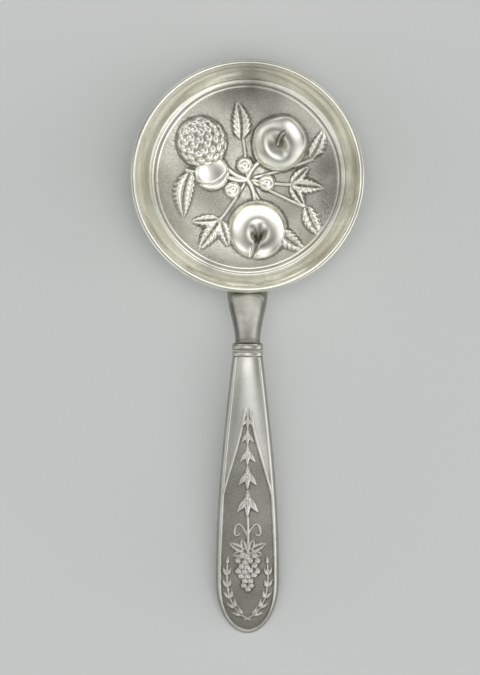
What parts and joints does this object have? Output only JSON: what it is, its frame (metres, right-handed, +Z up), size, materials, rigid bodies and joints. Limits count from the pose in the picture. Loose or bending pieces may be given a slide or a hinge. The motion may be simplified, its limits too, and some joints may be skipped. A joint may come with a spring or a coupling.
{
  "type": "berry spoon",
  "caption": "Silver serving spoon with a round bowl embossed with fruit, a wired rim and an ornamented hollow handle.",
  "frame": {"origin": "centre of the flat under the bowl that the spoon rests on", "axes": "+Z up, out of the bowl's mouth; the handle runs along -Y from the bowl and comes down to the same surface; +X to the right seen from above with the bowl at the top"},
  "size_m": [0.0816, 0.201, 0.0306],
  "materials": {
    "bowl_silver": "polished",
    "handle_silver": "satin",
    "cement": "matte"
  },
  "bodies": {
    "root": {"bowl": "bowl_silver", "rim_wire": "bowl_silver", "shank": "handle_silver", "collar": "handle_silver", "handle_front": "handle_silver", "handle_back": "handle_silver", "handle_filler": "cement"}
  },
  "joints": []
}
